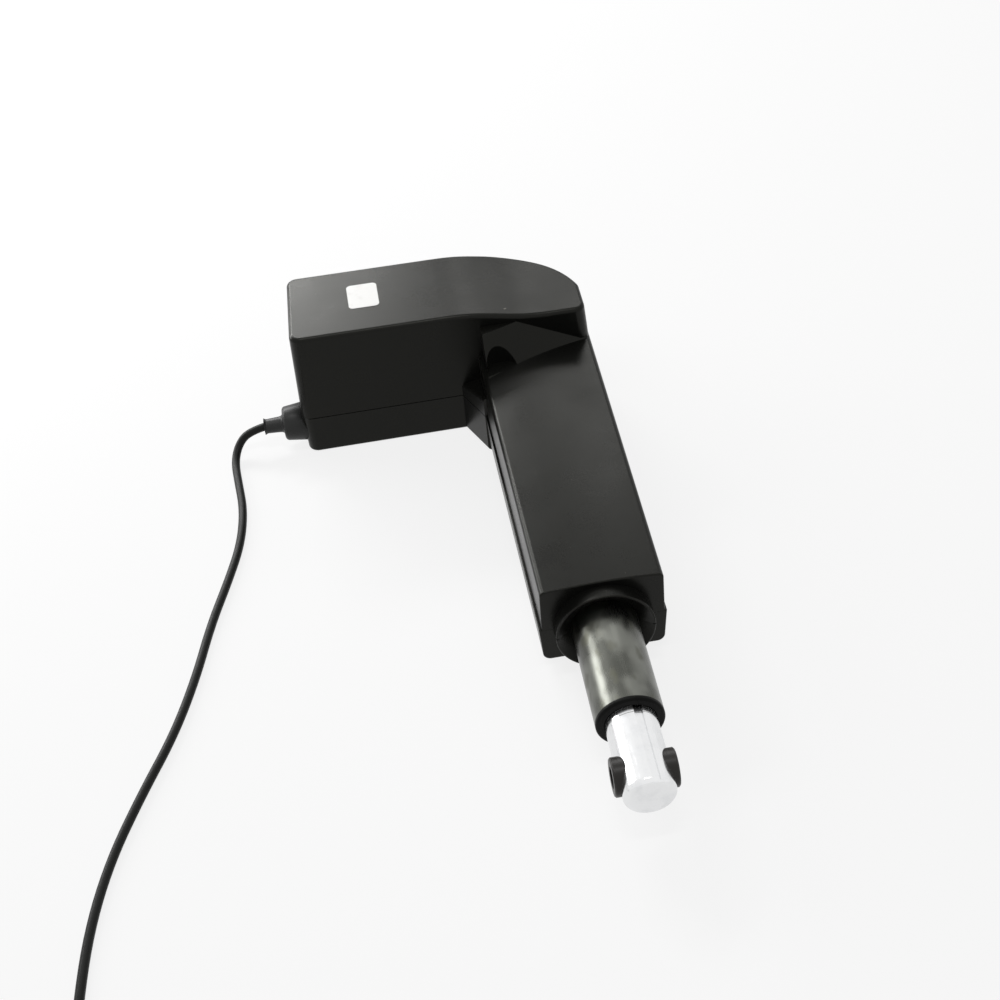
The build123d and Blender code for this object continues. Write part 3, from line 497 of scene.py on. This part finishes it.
# polished rod: faint turning lines round it, light rub marks along it and the joint of its end block
def rodMetal():
    look = rodLook
    finish = Finish("rodMetal")
    lines = finish.noise(look["turnedSize"], 1.0, look["turnedStretch"])
    rubs = finish.noise(look["rubSize"], 2.0, look["rubStretch"]).between(0.58, 0.75)
    haze = finish.noise(look["hazeSize"], 3.0, shift=(1.0, 6.0, 2.0))
    fromSeam = finish.axis(1) - look["seam"] * mm
    seamFrom, seamTo = ((edge * mm) ** 2 for edge in look["seamEdge"])
    seam = 1 - (fromSeam * fromSeam).between(seamFrom, seamTo)
    polished = finish.colours(rubs * 0.35 + haze.between(0.45, 0.8) * 0.5, look["clean"], look["dull"])
    finish.set(
        Base_Color=finish.colours(seam * 0.85, polished, look["joint"]),
        Metallic=1.0,
        Roughness=look["roughness"] + (haze - 0.5) * 0.12 + rubs * 0.10 + (lines - 0.5) * 0.05,
    )
    finish.bump(lines * look["turnedHeight"])
    return finish


labelLook = {
    "paper": (0.79, 0.79, 0.77),
    "grubby": (0.55, 0.54, 0.51),
    "roughness": 0.42,
    "fibreSize": 0.35,
    "fibreHeight": 0.004,
    "smudgeSize": 7.0,
}


def labelWhite():
    look = labelLook
    finish = Finish("labelWhite")
    fibre = finish.noise(look["fibreSize"], 3.0)
    smudge = finish.noise(look["smudgeSize"], 3.0, shift=(1.0, 2.0, 3.0)).between(0.5, 0.85)
    finish.set(
        Base_Color=finish.colours(smudge * 0.35 + (fibre - 0.5) * 0.12, look["paper"], look["grubby"]),
        Roughness=look["roughness"] + (fibre - 0.5) * 0.1,
    )
    finish.bump(fibre * look["fibreHeight"])
    return finish


# a moulded plastic or rubber of one colour: fine grain, slow change of tone and a dusting
def moulded(name, colour, roughness, grain=0.5, height=0.008, dusty=0.25, lighter=1.35, **others):
    finish = Finish(name)
    fine = finish.noise(grain, 3.0)
    slow = finish.noise(14.0, 3.0, shift=(2.0, 1.0, 4.0))
    light = tuple(min(1.0, value * lighter + 0.004) for value in colour)
    dust = finish.noise(1.7, 2.0, shift=(7.0, 3.0, 1.0)).between(0.60, 0.82) * slow.between(0.45, 0.7)
    finish.set(
        Base_Color=finish.colours(dust * dusty + slow * 0.35, colour, light),
        Roughness=roughness + (slow - 0.5) * 0.14 + (fine - 0.5) * 0.08,
        **others,
    )
    finish.bump(fine * height)
    return finish


# a cut or rolled metal of one colour: fine lines one way, dull patches
def machined(name, colour, roughness, stretch=(1.0, 14.0, 1.0), grain=0.4, height=0.004):
    finish = Finish(name)
    lines = finish.noise(grain, 2.0, stretch)
    patches = finish.noise(6.0, 3.0, shift=(4.0, 1.0, 6.0))
    dulled = tuple(value * 0.6 for value in colour)
    finish.set(
        Base_Color=finish.colours(patches.between(0.4, 0.75) * 0.6 + (lines - 0.5) * 0.4, colour, dulled),
        Metallic=1.0,
        Roughness=roughness + (patches - 0.5) * 0.2 + (lines - 0.5) * 0.1,
    )
    finish.bump(lines * height)
    return finish


evenly = (1.0, 1.0, 1.0)
crossways = (12.0, 1.0, 1.0)

mouldedLooks = {
    "ringPlastic": {"colour": (0.0038, 0.0040, 0.0036), "roughness": 0.40, "Specular_IOR_Level": 0.07},
    "bushPlastic": {"colour": (0.0085, 0.0070, 0.0055), "roughness": 0.38, "grain": 0.7,
                    "Specular_IOR_Level": 0.30},
    "sealRubber": {"colour": (0.0038, 0.0040, 0.0036), "roughness": 0.55, "grain": 0.3,
                   "Specular_IOR_Level": 0.07},
    "cableJacket": {"colour": (0.0065, 0.0069, 0.0061), "roughness": 0.42, "grain": 0.8, "height": 0.01,
                    "dusty": 0.3, "lighter": 1.6, "Specular_IOR_Level": 0.15},
    "glandPlastic": {"colour": (0.0085, 0.0090, 0.0085), "roughness": 0.44, "Specular_IOR_Level": 0.35},
    "nylon": {"colour": (0.72, 0.69, 0.60), "roughness": 0.42, "grain": 0.6, "lighter": 0.86,
              "Subsurface_Weight": 0.08},
    "magnet": {"colour": (0.045, 0.045, 0.048), "roughness": 0.55, "height": 0.02},
    "boardGreen": {"colour": (0.02, 0.14, 0.05), "roughness": 0.38, "grain": 0.9},
}

machinedLooks = {
    "steel": {"colour": (0.58, 0.58, 0.59), "roughness": 0.28},
    "screwSteel": {"colour": (0.50, 0.49, 0.46), "roughness": 0.34, "stretch": evenly},
    "canSteel": {"colour": (0.56, 0.55, 0.50), "roughness": 0.36, "stretch": crossways},
    "castMetal": {"colour": (0.44, 0.44, 0.45), "roughness": 0.50, "stretch": evenly, "grain": 0.9,
                  "height": 0.05},
    "brass": {"colour": (0.72, 0.52, 0.22), "roughness": 0.26},
    "copper": {"colour": (0.70, 0.32, 0.17), "roughness": 0.32, "stretch": (14.0, 1.0, 1.0), "grain": 0.5,
               "height": 0.02},
}

# which pieces wear which finish
worn = {
    "shellPlastic": ["front_shell", "rear_shell"],
    "tubeMetal": ["outer_tube"],
    "rodMetal": ["lifting_rod", "rod_end"],
    "labelWhite": ["label"],
    "ringPlastic": ["guide_ring", "spindle_tip_guide"],
    "bushPlastic": ["rod_end_bush", "rear_bush"],
    "sealRubber": ["wiper_seal"],
    "cableJacket": [leadCord, "cable", "cable_coil", "cable_tail"],
    "glandPlastic": [strainRelief, "cable_gland", "plug_body", "cable_tie", "limit_switches"],
    "nylon": ["worm_wheel", "spindle_nut", "switch_rail", "terminal_blocks"],
    "magnet": ["motor_magnets"],
    "boardGreen": ["terminal_board"],
    "steel": [
        spindleScrew, wormScrew, "spindle", "worm", "wheel_collar", "motor_shaft",
        "rear_bearing_outer", "rear_bearing_inner", "rear_bearing_balls",
        "front_bearing_outer", "front_bearing_inner", "front_bearing_balls",
    ],
    "screwSteel": ["shell_screws", "motor_screws", "plug_shell"],
    "canSteel": ["motor_can", "motor_end_plate"],
    "castMetal": ["rear_mount", "bearing_carrier"],
    "brass": ["worm_bearing"],
    "copper": ["armature", "commutator"],
}

finishes = {
    "shellPlastic": shellPlastic(),
    "tubeMetal": tubeMetal(),
    "rodMetal": rodMetal(),
    "labelWhite": labelWhite(),
}
finishes.update({name: moulded(name, **look) for name, look in mouldedLooks.items()})
finishes.update({name: machined(name, **look) for name, look in machinedLooks.items()})
for name, pieces in worn.items():
    finishes[name].wear(*pieces)
print("materials made:", len(finishes))


# each lamp: name, place, what it looks at, its two sides in metres, watts
studio = {
    "floorHeight": -30.3,
    "floorReach": 3000.0,
    "floorTone": (0.86, 0.86, 0.86),
    "shown": 0.82,
    "ambient": 0.27,
    "lamps": [
        ("backLamp", (-0.51, 1.30, 0.93), (-0.12, -0.05, 0.06), (0.87, 0.22), 17.6),
        ("sideLamp", (-0.91, 0.53, 0.37), (0.00, -0.36, 0.00), (0.67, 0.46), 6.6),
        ("edgeLamp", (-0.05, -0.30, 1.60), (-0.05, -0.20, 0.03), (0.50, 0.06), 4.0),
        ("rightLamp", (0.35, 1.20, 1.10), (0.02, -0.10, 0.06), (0.5, 0.30), 2.4),
    ],
}


# 1 for a ray that shows the background, which is a camera, glossy or transmission ray, and 0 for any other
def shownRay(wiring):
    total = wiring.node("ShaderNodeLightPath", output="Is Camera Ray")
    for name in ("Is Glossy Ray", "Is Transmission Ray"):
        ray = wiring.node("ShaderNodeLightPath", output=name)
        total = wiring.node("ShaderNodeMath", {"operation": "ADD", "use_clamp": True}, {0: total, 1: ray})
    return total


def makeFloor():
    reach = studio["floorReach"]
    x, y = np.meshgrid((-reach, reach), (-reach, reach))
    points = np.stack([x, y, np.full_like(x, studio["floorHeight"])], axis=-1)
    floor = linked(bpy.data.objects.new("floor", gridMesh("floor", points, rings=False)))
    paper = Finish("floorPaper")
    paper.set(Base_Color=studio["floorTone"], Roughness=0.9, Specular_IOR_Level=0.0)
    lit = Amount(paper, paper.shader.outputs[0])
    glow = paper.node("ShaderNodeEmission", None, {"Strength": 1.0})
    mixed = paper.node("ShaderNodeMixShader", None, {0: shownRay(paper) * studio["shown"], 1: lit, 2: glow})
    paper.join(paper.tree.nodes["Material Output"].inputs["Surface"], mixed)
    paper.wear(floor)


def makeWorld():
    world = bpy.data.worlds.new("studioWorld")
    sky = Wiring(world)
    background = sky.tree.nodes["Background"]
    sky.join(background.inputs["Color"], (1.0, 1.0, 1.0))
    sky.join(background.inputs["Strength"], studio["ambient"] + shownRay(sky) * (1 - studio["ambient"]))
    scene.world = world


def makeLamps():
    for name, place, target, size, power in studio["lamps"]:
        data = bpy.data.lights.new(name, "AREA")
        data.shape = "RECTANGLE"
        data.size, data.size_y = size
        data.energy = power
        lamp = linked(bpy.data.objects.new(name, data))
        aim = Vector(target) - Vector(place)
        lamp.location = place
        lamp.rotation_euler = aim.to_track_quat("-Z", "Y").to_euler()


makeFloor()
makeWorld()
makeLamps()
print("floor, background and lamps made")

bpy.context.view_layer.update()
